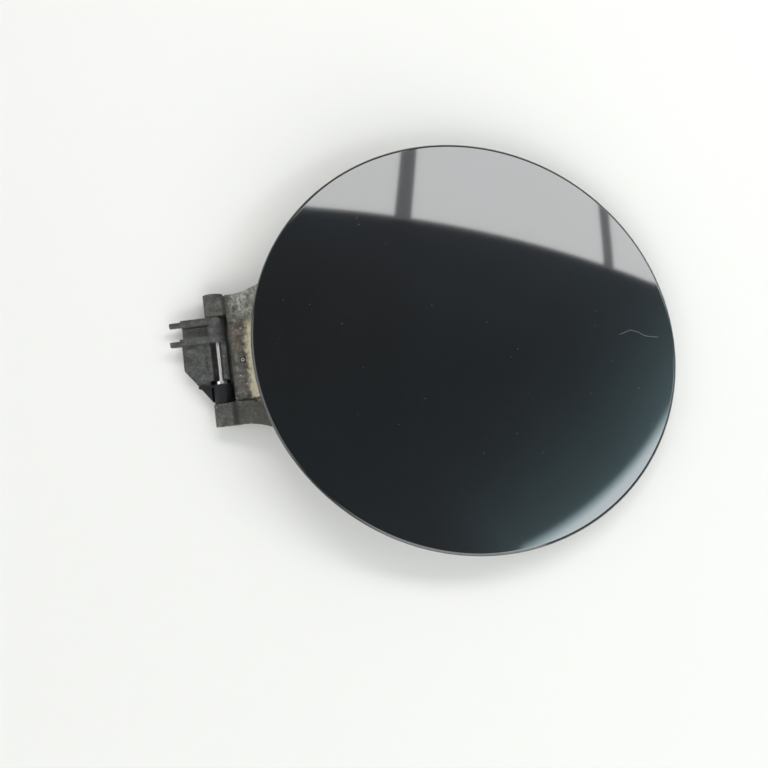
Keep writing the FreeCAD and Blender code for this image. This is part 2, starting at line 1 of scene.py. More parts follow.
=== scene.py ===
import math

import bmesh
import bpy
from mathutils import Matrix, Vector


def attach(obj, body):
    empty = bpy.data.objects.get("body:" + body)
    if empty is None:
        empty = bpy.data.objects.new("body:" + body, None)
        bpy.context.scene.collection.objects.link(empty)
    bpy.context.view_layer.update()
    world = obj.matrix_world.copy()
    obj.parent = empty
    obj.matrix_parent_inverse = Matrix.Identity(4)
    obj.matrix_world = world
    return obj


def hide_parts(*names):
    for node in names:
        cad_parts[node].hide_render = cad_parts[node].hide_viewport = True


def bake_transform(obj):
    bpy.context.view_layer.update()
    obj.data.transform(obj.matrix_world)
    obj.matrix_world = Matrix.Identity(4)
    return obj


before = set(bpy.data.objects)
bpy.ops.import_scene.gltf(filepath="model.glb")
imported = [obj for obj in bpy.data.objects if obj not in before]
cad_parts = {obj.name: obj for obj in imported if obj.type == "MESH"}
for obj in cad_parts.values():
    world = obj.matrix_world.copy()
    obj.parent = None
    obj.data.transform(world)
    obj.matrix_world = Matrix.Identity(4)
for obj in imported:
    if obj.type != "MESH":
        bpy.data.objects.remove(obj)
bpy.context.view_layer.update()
bpy.context.scene.view_settings.view_transform = "Standard"


# Hinge base: black glass filled plastic, moulded in one piece, with two tabs for the filler pocket.
# Ribs stiffen its plate, two knuckles carry the pin, and years outdoors have turned it grey.
# Its moulded corners carry a small round, and the low pocket beside the knuckles is painted paler,
# partly with dust and partly with painted light that lifts its shade.
BASE_EDGE = 0.00018
BASE_BLACK = (0.01, 0.0105, 0.0105, 1.0)
BASE_BLOOM = (0.1, 0.105, 0.104, 1.0)
BASE_LOWER_DARK = (0.014, 0.015, 0.018, 1.0)
BASE_DARKENS_BELOW = (-0.0105, -0.0085)
BASE_DUST = (0.24, 0.235, 0.2, 1.0)
BASE_THIN_DUST = 0.1
BASE_POCKET_DUST_AND_LIGHT = 0.55
BASE_SKYWARD = (0.2, 0.6)
BASE_POCKET_TOP = (0.0045, 0.003)
BASE_POCKET_SIDE = (0.007, 0.0085)
BASE_GRAIN_DEPTH = 0.00012
WELD = 0.000002
FLAT_ENOUGH = math.radians(0.6)
SHARP_CORNER = math.radians(32)
BLOOM_CLOUDS = 260.0
GRIME_SPOTS = 900.0
GRIME_CLEARS = 0.4
DUST_POWDER = 620.0
MOULD_GRAIN = 2600.0
DUST_SPECKS = 430.0
SPECK_SIZE = (0.19, 0.1)
SPECK_COVER = 0.85
SPECK_CHANCE = 0.84
PLASTIC_ROUGH = (0.46, 0.66)
PLASTIC_RELIEF = 0.35
PLASTIC_SHINE = 0.25


def welded(node):
    """A copy of a piece's mesh with its loose triangles joined up."""
    form = bmesh.new()
    form.from_mesh(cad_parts[node].data)
    bmesh.ops.remove_doubles(form, verts=form.verts, dist=WELD)
    return form


def set_down(form, name, sharp):
    """A finished form as a piece in its place, shaded smooth up to its sharp corners."""
    for face in form.faces:
        face.smooth = True
    for side in form.edges:
        side.smooth = side.calc_face_angle(0.0) < sharp
    mesh = bpy.data.meshes.new(name)
    form.to_mesh(mesh)
    form.free()
    piece = bpy.data.objects.new(name, mesh)
    bpy.context.scene.collection.objects.link(piece)
    return piece


def soften(node, name, edge):
    """A copy of a moulded piece with its corners rounded off."""
    form = welded(node)
    bmesh.ops.dissolve_limit(form, angle_limit=FLAT_ENOUGH, verts=form.verts, edges=form.edges)
    corners = [
        side
        for side in form.edges
        if side.is_manifold and side.calc_face_angle(0.0) > SHARP_CORNER
    ]
    bmesh.ops.bevel(
        form,
        geom=corners,
        offset=edge,
        offset_type="OFFSET",
        affect="EDGES",
        segments=2,
        profile=0.5,
        material=-1,
        clamp_overlap=True,
    )
    bmesh.ops.dissolve_degenerate(form, edges=form.edges, dist=WELD)
    bmesh.ops.triangulate(form, faces=[face for face in form.faces if len(face.verts) > 4])
    return set_down(form, name, SHARP_CORNER)


def add_node(tree, kind, **settings):
    """A shader node with its constant inputs set."""
    made = tree.nodes.new("ShaderNode" + kind)
    for name, value in settings.items():
        made.inputs[name.replace("_", " ")].default_value = value
    return made


def new_group(name, inputs, outputs):
    """An empty shader node group with named sockets."""
    group = bpy.data.node_groups.new(name, "ShaderNodeTree")
    for label, kind in inputs.items():
        group.interface.new_socket(label, in_out="INPUT", socket_type="NodeSocket" + kind)
    for label, kind in outputs.items():
        group.interface.new_socket(label, in_out="OUTPUT", socket_type="NodeSocket" + kind)
    start = group.nodes.new("NodeGroupInput").outputs
    end = group.nodes.new("NodeGroupOutput").inputs
    return group, start, end


def noise(tree, where, scale, detail, roughness):
    """A cloudy pattern, finer with a larger scale."""
    made = add_node(tree, "TexNoise", Scale=scale, Detail=detail, Roughness=roughness)
    tree.links.new(where, made.inputs["Vector"])
    return made.outputs["Fac"]


def cells(tree, where, scale):
    """A pattern of random cells: how far from a cell's middle, and chances that differ by cell."""
    made = add_node(tree, "TexVoronoi", Scale=scale)
    tree.links.new(where, made.inputs["Vector"])
    chances = add_node(tree, "SeparateColor")
    tree.links.new(made.outputs["Color"], chances.inputs["Color"])
    return made.outputs["Distance"], chances.outputs


def split(tree, vector):
    """A vector's three parts, by letter."""
    made = add_node(tree, "SeparateXYZ")
    tree.links.new(vector, made.inputs["Vector"])
    return made.outputs


def stretch(tree, value, low, high, to_low=0.0, to_high=1.0):
    """A value spread from one range to another, held at both ends."""
    made = add_node(tree, "MapRange")
    made.inputs["From Min"].default_value = low
    made.inputs["From Max"].default_value = high
    made.inputs["To Min"].default_value = to_low
    made.inputs["To Max"].default_value = to_high
    tree.links.new(value, made.inputs["Value"])
    return made.outputs["Result"]


def sums(tree, kind, first, second):
    """Two values joined by a sum, each a socket or a number."""
    made = tree.nodes.new("ShaderNodeMath")
    made.operation = kind
    for spot, value in enumerate((first, second)):
        if isinstance(value, (int, float)):
            made.inputs[spot].default_value = value
        else:
            tree.links.new(value, made.inputs[spot])
    return made.outputs["Value"]


def blend_colours(tree, mask, under, over):
    """One colour over another through a mask, each a socket or a plain colour."""
    made = tree.nodes.new("ShaderNodeMix")
    made.data_type = "RGBA"
    tree.links.new(mask, made.inputs["Factor"])
    for label, colour in (("A", under), ("B", over)):
        spot = [socket for socket in made.inputs if socket.name == label and socket.type == "RGBA"][0]
        if isinstance(colour, tuple):
            spot.default_value = colour
        else:
            tree.links.new(colour, spot)
    return [socket for socket in made.outputs if socket.type == "RGBA"][0]


def build_aged_plastic():
    """Greyed moulded plastic: cloudy bloom, grime, dust specks and a fine mould grain."""
    group, start, end = new_group(
        "aged_plastic",
        {"Where": "Vector", "Black": "Color", "Bloom": "Color", "Dust": "Color", "Dusty": "Float"},
        {"Color": "Color", "Roughness": "Float", "Height": "Float"},
    )
    where = start["Where"]
    cloud = noise(group, where, BLOOM_CLOUDS, detail=8.0, roughness=0.78)
    cloud = stretch(group, cloud, 0.36, 0.62)
    grime = noise(group, where, GRIME_SPOTS, detail=5.0, roughness=0.7)
    grime = stretch(group, grime, 0.42, 0.56)
    from_middle, chances = cells(group, where, DUST_SPECKS)
    chosen = sums(group, "GREATER_THAN", chances["Red"], SPECK_CHANCE)
    speck = stretch(group, from_middle, *SPECK_SIZE, 0.0, SPECK_COVER)
    speck = sums(group, "MULTIPLY", speck, chosen)
    powder = noise(group, where, DUST_POWDER, detail=5.0, roughness=0.7)
    powder = stretch(group, powder, 0.2, 0.5)
    dusty = sums(group, "MULTIPLY", start["Dusty"], powder)
    paler_share = sums(group, "MULTIPLY", cloud, stretch(group, grime, 0.0, 1.0, GRIME_CLEARS, 1.0))
    colour = blend_colours(group, paler_share, start["Black"], start["Bloom"])
    colour = blend_colours(group, dusty, colour, start["Dust"])
    colour = blend_colours(group, speck, colour, start["Dust"])
    group.links.new(colour, end["Color"])
    rough = stretch(group, cloud, 0.0, 1.0, *PLASTIC_ROUGH)
    group.links.new(sums(group, "MAXIMUM", rough, dusty), end["Roughness"])
    grain = noise(group, where, MOULD_GRAIN, detail=2.0, roughness=0.5)
    group.links.new(sums(group, "ADD", sums(group, "ADD", grain, grime), dusty), end["Height"])
    return group


aged_plastic = build_aged_plastic()


def new_material(name):
    """A material with its shader, and the place on the piece that its patterns follow."""
    made = bpy.data.materials.new(name)
    made.use_nodes = True
    tree = made.node_tree
    place = tree.nodes.new("ShaderNodeTexCoord").outputs["Object"]
    return made, tree, tree.nodes["Principled BSDF"], place


def use_group(tree, group, place, **values):
    """A node group in a material, with that material's own values."""
    made = tree.nodes.new("ShaderNodeGroup")
    made.node_tree = group
    tree.links.new(place, made.inputs["Where"])
    for name, value in values.items():
        made.inputs[name].default_value = value
    return made


def add_relief(tree, shader, height, strength, depth):
    """A fine surface relief on a shader."""
    relief = add_node(tree, "Bump", Strength=strength, Distance=depth)
    tree.links.new(height, relief.inputs["Height"])
    tree.links.new(relief.outputs["Normal"], shader.inputs["Normal"])


def wire_up(tree, shader, look, strength, depth):
    """Colour, roughness and surface relief of a look onto a shader."""
    tree.links.new(look.outputs["Color"], shader.inputs["Base Color"])
    tree.links.new(look.outputs["Roughness"], shader.inputs["Roughness"])
    add_relief(tree, shader, look.outputs["Height"], strength, depth)


hinge_base = soften("hinge_base", "hinge_base_moulding", BASE_EDGE)
base_plastic, tree, shader, place = new_material("base_plastic")
ways = split(tree, place)
# Darker and bluer towards the lower end, with thin dust above it.
paler_share = stretch(tree, ways["Y"], *BASE_DARKENS_BELOW)
# Dust and painted light: the low pocket's upward floor is painted paler, partly dust and partly
# painted light that lifts its shade.
pocket_dust_and_light = stretch(tree, split(tree, place.node.outputs["Normal"])["Z"], *BASE_SKYWARD)
pocket_dust_and_light = sums(tree, "MULTIPLY", pocket_dust_and_light, stretch(tree, ways["Z"], *BASE_POCKET_TOP))
pocket_dust_and_light = sums(tree, "MULTIPLY", pocket_dust_and_light, stretch(tree, ways["Y"], *BASE_POCKET_SIDE))
pocket_dust_and_light = sums(tree, "MULTIPLY", pocket_dust_and_light, BASE_POCKET_DUST_AND_LIGHT)
dusty = sums(tree, "MAXIMUM", sums(tree, "MULTIPLY", paler_share, BASE_THIN_DUST), pocket_dust_and_light)
look = use_group(tree, aged_plastic, place, Black=BASE_BLACK, Dust=BASE_DUST)
tree.links.new(dusty, look.inputs["Dusty"])
tree.links.new(blend_colours(tree, paler_share, BASE_LOWER_DARK, BASE_BLOOM), look.inputs["Bloom"])
wire_up(tree, shader, look, PLASTIC_RELIEF, BASE_GRAIN_DEPTH)
shader.inputs["Specular IOR Level"].default_value = PLASTIC_SHINE
hinge_base.data.materials.append(base_plastic)
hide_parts("hinge_base")
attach(hinge_base, "base")


# Return spring: drawn spring wire wound round the pin inside the upper knuckles.
# One leg sits in the base and one in the arm, and it pulls the lid shut.
# Drawing leaves fine lines along the wire, and oil has darkened it.
SPRING_STEEL = (0.33, 0.33, 0.32, 1.0)
SPRING_TARNISH = (0.16, 0.15, 0.135, 1.0)
SPRING_SHARP = math.radians(50)
STEEL_DRAWN = (1.0, 0.06, 1.0)
STEEL_LINES = 5200.0
STEEL_CLOUDS = 320.0
STEEL_ROUGH = (0.34, 0.59)
STEEL_RELIEF = 0.08
STEEL_LINE_DEPTH = 0.00002


def build_worn_steel():
    """Plated steel with fine drawn lines and cloudy tarnish."""
    group, start, end = new_group(
        "worn_steel",
        {"Where": "Vector", "Steel": "Color", "Tarnish": "Color"},
        {"Color": "Color", "Roughness": "Float", "Height": "Float"},
    )
    where = start["Where"]
    drawn = add_node(group, "Mapping", Scale=STEEL_DRAWN)
    group.links.new(where, drawn.inputs["Vector"])
    lines = noise(group, drawn.outputs["Vector"], STEEL_LINES, detail=3.0, roughness=0.6)
    cloud = noise(group, where, STEEL_CLOUDS, detail=5.0, roughness=0.65)
    cloud = stretch(group, cloud, 0.48, 0.8)
    colour = blend_colours(group, cloud, start["Steel"], start["Tarnish"])
    group.links.new(colour, end["Color"])
    group.links.new(stretch(group, cloud, 0.0, 1.0, *STEEL_ROUGH), end["Roughness"])
    group.links.new(lines, end["Height"])
    return group


worn_steel = build_worn_steel()


def steel_finish(name, steel, tarnish):
    """A bare or plated steel of its own brightness."""
    made, tree, shader, place = new_material(name)
    look = use_group(tree, worn_steel, place, Steel=steel, Tarnish=tarnish)
    wire_up(tree, shader, look, STEEL_RELIEF, STEEL_LINE_DEPTH)
    shader.inputs["Metallic"].default_value = 1.0
    return made


torsion_spring = set_down(welded("return_spring"), "torsion_spring", SPRING_SHARP)
torsion_spring.data.materials.append(steel_finish("spring_wire", SPRING_STEEL, SPRING_TARNISH))
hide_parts("return_spring")
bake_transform(torsion_spring)


# Hinge pin and its clip: a bright plated steel rod, pressed into the arm's two knuckles.
# It shows in the window between the base's knuckles, where the clip keeps it from creeping.
# Its plating is still bright, with a little grime.
PIN_STEEL = (0.93, 0.93, 0.9, 1.0)
PIN_TARNISH = (0.74, 0.73, 0.7, 1.0)


def refinish(node, finish):
    """A new material on a piece whose shape is right."""
    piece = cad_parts[node]
    piece.data.materials.clear()
    piece.data.materials.append(finish)


pin_steel = steel_finish("pin_plating", PIN_STEEL, PIN_TARNISH)
refinish("hinge_pin", pin_steel)
refinish("pin_clip", pin_steel)


# Hinge arm: black moulded plastic, flared from two knuckles to a broad foot screwed under the lid.
# A shallow pocket runs along its hinge end, and road dust has caked on the pocket's far wall.
# One wing beside the pocket is painted pale as a painted highlight, and a brown stain borders the
# dust.
ARM_EDGE = 0.00025
ARM_BLACK = (0.013, 0.0135, 0.013, 1.0)
ARM_PAINTED_HIGHLIGHT = (0.43, 0.425, 0.39, 1.0)
ARM_BLOOM = (0.165, 0.158, 0.14, 1.0)
ARM_KNUCKLE = (0.105, 0.109, 0.109, 1.0)
ARM_PAINTED_SHADE = (0.06, 0.064, 0.062, 1.0)
ARM_DUST = (0.5, 0.46, 0.33, 1.0)
ARM_RUST = (0.2, 0.145, 0.115, 1.0)
ARM_SHADE_FADE = (-0.021, -0.017)
ARM_LIT_WING_SPAN = (0.013, 0.021)
ARM_WING = (0.0075, 0.0095)
ARM_KNUCKLE_REACH = (0.0045, 0.003)
ARM_SKYWARD = (-0.2, 0.3)
ARM_THIN_DUST = 0.06
ARM_GRAIN_DEPTH = 0.00014
RAGGED_EDGE = 0.002
RAGGED_CLOUDS = 300.0
DUST_BAND = (0.0121, 0.0137, 0.0165, 0.021)
DUST_SPAN = (-0.0198, -0.017, 0.0105, 0.017)
RUST_ACROSS = (0.0065, 0.0085, 0.0145, 0.0165)
RUST_ALONG = (0.0015, 0.005, 0.0115, 0.016)
RUST_STRENGTH = 0.75
ARM_WEB_GRIME_AND_SHADE = (0.0036, 0.0046, 0.0058, 0.0078)
WAVY_EDGE = 0.0008
WAVY_CLOUDS = 700.0
SEAM_ACROSS = (0.0088, 0.0092, 0.0185, 0.019)
SEAM_ALONG = (-0.019, -0.0186, -0.018, -0.0176)
STAMP_ACROSS = (0.0094, 0.0097, 0.012, 0.0123)
STAMP_ALONG = (-0.0031, -0.0028, -0.0006, -0.0003)
GRIME_AND_SHADE_STRENGTH = 0.75
RING_MIDDLE = (0.0109, -0.0017, 0.0)
RING_WIDTH = (0.00035, 0.00048, 0.00066, 0.00082)


def between(tree, value, edges):
    """A mask that fades in and out again along a value."""
    start, full, fade, end = edges
    rise = stretch(tree, value, start, full)
    return sums(tree, "MULTIPLY", rise, stretch(tree, value, end, fade))


def patch(tree, across, along, across_edges, along_edges):
    """A mask of one patch of the arm, from its edges across and along the hinge."""
    band = between(tree, across, across_edges)
    return sums(tree, "MULTIPLY", band, between(tree, along, along_edges))


hinge_arm = soften("hinge_arm", "hinge_arm_moulding", ARM_EDGE)
arm_plastic, tree, shader, place = new_material("arm_plastic")
ways = split(tree, place)
ragged = noise(tree, place, RAGGED_CLOUDS, detail=6.0, roughness=0.7)
ragged = stretch(tree, ragged, 0.2, 0.8, -RAGGED_EDGE, RAGGED_EDGE)
ragged_across = sums(tree, "ADD", ways["X"], ragged)
ragged_along = sums(tree, "ADD", ways["Y"], ragged)
skyward = stretch(tree, split(tree, place.node.outputs["Normal"])["Z"], *ARM_SKYWARD)
caked = patch(tree, ragged_across, ragged_along, DUST_BAND, DUST_SPAN)
caked = sums(tree, "MULTIPLY", caked, skyward)
# Painted shade: the arm's lower end and every face turned away from above take the darker colour.
unshaded_side = sums(tree, "MULTIPLY", stretch(tree, ways["Y"], *ARM_SHADE_FADE), skyward)
bloom = blend_colours(tree, unshaded_side, ARM_PAINTED_SHADE, ARM_BLOOM)
# Painted highlight: the upper wing's faces that look up are painted pale.
lit_wing = stretch(tree, ways["Y"], *ARM_LIT_WING_SPAN)
lit_wing = sums(tree, "MULTIPLY", lit_wing, stretch(tree, ragged_across, *ARM_WING))
lit_wing = sums(tree, "MULTIPLY", lit_wing, skyward)
bloom = blend_colours(tree, lit_wing, bloom, ARM_PAINTED_HIGHLIGHT)
bloom = blend_colours(tree, stretch(tree, ways["X"], *ARM_KNUCKLE_REACH), bloom, ARM_KNUCKLE)
rusty = patch(tree, ragged_across, ragged_along, RUST_ACROSS, RUST_ALONG)
rusty = sums(tree, "MULTIPLY", sums(tree, "MULTIPLY", rusty, skyward), RUST_STRENGTH)
look = use_group(tree, aged_plastic, place, Black=ARM_BLACK, Dust=ARM_DUST)
tree.links.new(blend_colours(tree, rusty, bloom, ARM_RUST), look.inputs["Bloom"])
tree.links.new(sums(tree, "MAXIMUM", caked, ARM_THIN_DUST), look.inputs["Dusty"])
wire_up(tree, shader, look, PLASTIC_RELIEF, ARM_GRAIN_DEPTH)
# Grime and painted shade: the low web between knuckles and plate is darkened, partly grime and partly
# painted shade; the stamp's square and the seam slot are darkened with painted shade.
wavy = noise(tree, place, WAVY_CLOUDS, detail=4.0, roughness=0.6)
wavy = stretch(tree, wavy, 0.2, 0.8, -WAVY_EDGE, WAVY_EDGE)
grime = between(tree, sums(tree, "ADD", ways["X"], wavy), ARM_WEB_GRIME_AND_SHADE)
stamp_shade = patch(tree, ways["X"], ways["Y"], STAMP_ACROSS, STAMP_ALONG)
seam_shade = patch(tree, ways["X"], ways["Y"], SEAM_ACROSS, SEAM_ALONG)
grime_and_shade = sums(tree, "MAXIMUM", grime, sums(tree, "MAXIMUM", stamp_shade, seam_shade))
grime_and_shade = sums(tree, "MULTIPLY", grime_and_shade, GRIME_AND_SHADE_STRENGTH)
colour = blend_colours(tree, grime_and_shade, look.outputs["Color"], ARM_BLACK)
# Painted highlight: a thin ring on the stamp, on faces that look up, is painted pale.
flat = add_node(tree, "Mapping", Scale=(1.0, 1.0, 0.0))
tree.links.new(place, flat.inputs["Vector"])
from_ring = tree.nodes.new("ShaderNodeVectorMath")
from_ring.operation = "DISTANCE"
from_ring.inputs[1].default_value = RING_MIDDLE
tree.links.new(flat.outputs["Vector"], from_ring.inputs[0])
ring_highlight = between(tree, from_ring.outputs["Value"], RING_WIDTH)
ring_highlight = sums(tree, "MULTIPLY", ring_highlight, skyward)
colour = blend_colours(tree, ring_highlight, colour, ARM_PAINTED_HIGHLIGHT)
tree.links.new(colour, shader.inputs["Base Color"])
shader.inputs["Specular IOR Level"].default_value = PLASTIC_SHINE
hinge_arm.data.materials.append(arm_plastic)
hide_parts("hinge_arm")
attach(hinge_arm, "lid")


# Inner panel: thin pressed steel with a shallow pan, bonded under the lid's hem.
# The body shop only gives it a thin coat of the lid's colour, so it stays satin.
# The coat is uneven and finely rippled.
PANEL_COAT = (0.014, 0.016, 0.019, 1.0)
PANEL_THIN = (0.028, 0.031, 0.035, 1.0)
PANEL_CLOUDS = 70.0
PANEL_RIPPLE = 900.0
PANEL_ROUGH = (0.3, 0.48)
PANEL_METAL = 0.35

panel_paint, tree, shader, place = new_material("panel_paint")
cloud = noise(tree, place, PANEL_CLOUDS, detail=5.0, roughness=0.62)
cloud = stretch(tree, cloud, 0.35, 0.7)
ripple = noise(tree, place, PANEL_RIPPLE, detail=2.0, roughness=0.5)
tree.links.new(blend_colours(tree, cloud, PANEL_COAT, PANEL_THIN), shader.inputs["Base Color"])
tree.links.new(stretch(tree, cloud, 0.0, 1.0, *PANEL_ROUGH), shader.inputs["Roughness"])
add_relief(tree, shader, ripple, strength=0.25, depth=0.0001)
shader.inputs["Metallic"].default_value = PANEL_METAL
refinish("inner_panel", panel_paint)


# Outer skin: pressed steel sheet with a low dome, its rim turned down and folded under as a hem.
# Dark metallic base coat under clear lacquer, so it mirrors the room softly.
# It carries fine dust, faint polishing haze and one short scratch near its far edge.
MM = 0.001
LID_HALF_LONG = 89.0
LID_HALF_SHORT = 82.85
LID_TURN = math.radians(-34.7)
LID_CENTRE = Vector((101.8, -8.2, 0.0))
LID_LEAN = math.radians(5.7115)
AXIS_HEIGHT = 5.0
RIM_UNDERSIDE = 20.0
RIM_WALL = 2.4
RIM_ROUND = 1.6
SHEET = 0.8
HEM = 9.0
FOLD_ROUND = 0.5
FOLD_STEPS = 4
CROWN_RADIUS = 610.0
CROWN_RINGS = 30
RIM_SUPPORT = 0.15
ROUND_STEPS = 8
LID_STEPS = 192
LID_WELD = 0.0005
LID_SHARP = math.radians(40)
ABOVE_HEM = 0.001
PAINT_DARK = (0.0042, 0.0047, 0.0058, 1.0)
PAINT_BLUE = (0.0064, 0.0092, 0.0112, 1.0)
PAINT_DRIFT = 9.0
PAINT_FLAKE = (0.026, 0.032, 0.037, 1.0)
FLAKE_CELLS = 5200.0
FLAKE_BRIGHT = (0.72, 1.0)
FLAKE_COVER = 0.5
PAINT_ROUGH = (0.34, 0.52)
PAINT_METAL = 0.8
PAINT_SHINE = 0.1
LACQUER_ROUGH = 0.05
LACQUER_INDEX = 1.75
LID_DUST = (0.3, 0.3, 0.28, 1.0)
LID_SPECKS = 330.0
LID_SPECK_SIZE = (0.09, 0.05)
LID_SPECK_CHANCE = 0.88
LID_SPECK_COVER = 0.3
HAZE_CLOUDS = 38.0
HAZE_COVER = 0.008
SCRATCH_WIDTH = 0.0001
SCRATCH_BREAKS = 900.0
SCRATCH = (
    (0.1659, -0.0108, 0.0143),
    (0.1706, -0.0095, 0.0133),
    (0.1741, -0.0106, 0.0125),
    (0.1768, -0.0125, 0.0119),
    (0.1827, -0.0136, 0.0106),
)


def crown_rise(reach, drawn_in=0.0):
    """Height of the domed sheet above the flat rim, at a reach from the lid's middle."""
    foot = RIM_UNDERSIDE + RIM_WALL - math.sqrt(CROWN_RADIUS**2 - LID_HALF_LONG**2)
    return foot + math.sqrt((CROWN_RADIUS - drawn_in) ** 2 - reach**2)


def rim_arc(drawn_in, rounding):
    """Points round the turned rim, from the dome to the upright wall."""
    wall = LID_HALF_LONG - drawn_in
    middle = wall - rounding
    height = crown_rise(middle, drawn_in + rounding)
    ball = math.sqrt((CROWN_RADIUS - drawn_in - rounding) ** 2 - middle**2)
    lean = math.atan2(middle, ball)
    points = []
    for step in range(ROUND_STEPS + 1):
        turn = lean + (math.pi / 2 - lean) * step / ROUND_STEPS
        points.append((middle + rounding * math.sin(turn), height + rounding * math.cos(turn)))
    return points


def crown_line(drawn_in, end):
    """Points over the dome from the middle to just short of the rim."""
    reaches = [end * ring_highlight / CROWN_RINGS for ring_highlight in range(CROWN_RINGS)] + [end - RIM_SUPPORT]
    return [(reach, crown_rise(reach, drawn_in)) for reach in reaches]


outer_arc = rim_arc(0.0, RIM_ROUND)
inner_arc = rim_arc(SHEET, RIM_ROUND - SHEET)
fold = []
for step in range(FOLD_STEPS + 1):
    turn = math.pi / 2 * step / FOLD_STEPS
    reach = LID_HALF_LONG - FOLD_ROUND + FOLD_ROUND * math.cos(turn)
    fold.append((reach, RIM_UNDERSIDE + FOLD_ROUND - FOLD_ROUND * math.sin(turn)))
hem_edge = [
    (LID_HALF_LONG - HEM, RIM_UNDERSIDE),
    (LID_HALF_LONG - HEM, RIM_UNDERSIDE + SHEET),
    (LID_HALF_LONG - SHEET, RIM_UNDERSIDE + SHEET),
]
section = crown_line(0.0, outer_arc[0][0]) + outer_arc + fold + hem_edge
section += inner_arc[::-1] + crown_line(SHEET, inner_arc[0][0])[::-1]
form = bmesh.new()
points = [form.verts.new((reach, 0.0, height)) for reach, height in section]
lines = [form.edges.new(pair) for pair in zip(points, points[1:])]
bmesh.ops.spin(
    form,
    geom=points + lines,
    cent=(0.0, 0.0, 0.0),
    axis=(0.0, 0.0, 1.0),
    angle=2 * math.pi,
    steps=LID_STEPS,
    use_merge=True,
)
bmesh.ops.remove_doubles(form, verts=form.verts, dist=LID_WELD)
bmesh.ops.recalc_face_normals(form, faces=form.faces)
narrow = LID_HALF_SHORT / LID_HALF_LONG
for spot in form.verts:
    was = math.hypot(spot.co.x, spot.co.y)
    spot.co.y *= narrow
    if spot.co.z > RIM_UNDERSIDE + SHEET + ABOVE_HEM:
        spot.co.z += crown_rise(math.hypot(spot.co.x, spot.co.y)) - crown_rise(was)
bmesh.ops.rotate(form, verts=form.verts, matrix=Matrix.Rotation(LID_TURN, 3, "Z"))
bmesh.ops.translate(form, verts=form.verts, vec=LID_CENTRE)
bmesh.ops.rotate(form, verts=form.verts, matrix=Matrix.Rotation(LID_LEAN, 3, "Y"))
bmesh.ops.translate(form, verts=form.verts, vec=(0.0, 0.0, AXIS_HEIGHT))
bmesh.ops.scale(form, verts=form.verts, vec=(MM, MM, MM))
lid_skin = set_down(form, "lid_skin", LID_SHARP)


def vectors(tree, kind, first, second, out="Vector"):
    """Two vectors joined by a vector sum."""
    made = tree.nodes.new("ShaderNodeVectorMath")
    made.operation = kind
    tree.links.new(first, made.inputs[0])
    tree.links.new(second, made.inputs[1])
    return made.outputs[out]


def build_scratch():
    """A mask of one straight scratch between two points."""
    group, start, end = new_group(
        "scratch",
        {"Where": "Vector", "Start": "Vector", "End": "Vector", "Width": "Float"},
        {"Mask": "Float"},
    )
    length = vectors(group, "SUBTRACT", start["End"], start["Start"])
    offset = vectors(group, "SUBTRACT", start["Where"], start["Start"])
    share = sums(
        group,
        "DIVIDE",
        vectors(group, "DOT_PRODUCT", offset, length, "Value"),
        vectors(group, "DOT_PRODUCT", length, length, "Value"),
    )
    share.node.use_clamp = True
    along = group.nodes.new("ShaderNodeVectorMath")
    along.operation = "SCALE"
    group.links.new(length, along.inputs[0])
    group.links.new(share, along.inputs["Scale"])
    away = vectors(group, "DISTANCE", offset, along.outputs["Vector"], "Value")
    faint = noise(group, start["Where"], SCRATCH_BREAKS, detail=3.0, roughness=0.6)
    near = sums(group, "LESS_THAN", away, start["Width"])
    group.links.new(sums(group, "MULTIPLY", near, faint), end["Mask"])
    return group


scratch = build_scratch()

lid_paint, tree, shader, place = new_material("lid_paint")
drift = noise(tree, place, PAINT_DRIFT, detail=3.0, roughness=0.5)
colour = blend_colours(tree, stretch(tree, drift, 0.35, 0.65), PAINT_DARK, PAINT_BLUE)
glint = cells(tree, place, FLAKE_CELLS)[1]
flake = stretch(tree, glint["Red"], *FLAKE_BRIGHT, 0.0, FLAKE_COVER)
colour = blend_colours(tree, flake, colour, PAINT_FLAKE)
from_middle, chances = cells(tree, place, LID_SPECKS)
chosen = sums(tree, "GREATER_THAN", chances["Green"], LID_SPECK_CHANCE)
speck = sums(tree, "MULTIPLY", stretch(tree, from_middle, *LID_SPECK_SIZE), chosen)
haze = noise(tree, place, HAZE_CLOUDS, detail=6.0, roughness=0.7)
haze = stretch(tree, haze, 0.5, 0.85, 0.0, HAZE_COVER)
dust = sums(tree, "MAXIMUM", sums(tree, "MULTIPLY", speck, LID_SPECK_COVER), haze)
for first, last in zip(SCRATCH, SCRATCH[1:]):
    cut = use_group(tree, scratch, place, Start=first, End=last, Width=SCRATCH_WIDTH)
    dust = sums(tree, "MAXIMUM", dust, cut.outputs["Mask"])
colour = blend_colours(tree, dust, colour, LID_DUST)
tree.links.new(colour, shader.inputs["Base Color"])
tree.links.new(stretch(tree, glint["Blue"], 0.0, 1.0, *PAINT_ROUGH), shader.inputs["Roughness"])
shader.inputs["Metallic"].default_value = PAINT_METAL
shader.inputs["Specular IOR Level"].default_value = PAINT_SHINE
shader.inputs["Coat Weight"].default_value = 1.0
shader.inputs["Coat Roughness"].default_value = LACQUER_ROUGH
shader.inputs["Coat IOR"].default_value = LACQUER_INDEX
lid_skin.data.materials.append(lid_paint)
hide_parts("outer_skin")
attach(lid_skin, "lid")


# Latch keeper: a small black plastic block screwed to the panel's pan.
# The push latch in the car body snaps its plunger into the keeper's mouth.
# It is sheltered by the lid, so it has kept its black.
KEEPER_BLACK = (0.02, 0.02, 0.02, 1.0)
KEEPER_BLOOM = (0.042, 0.042, 0.041, 1.0)
KEEPER_DUST = (0.12, 0.115, 0.1, 1.0)
KEEPER_THIN_DUST = 0.1

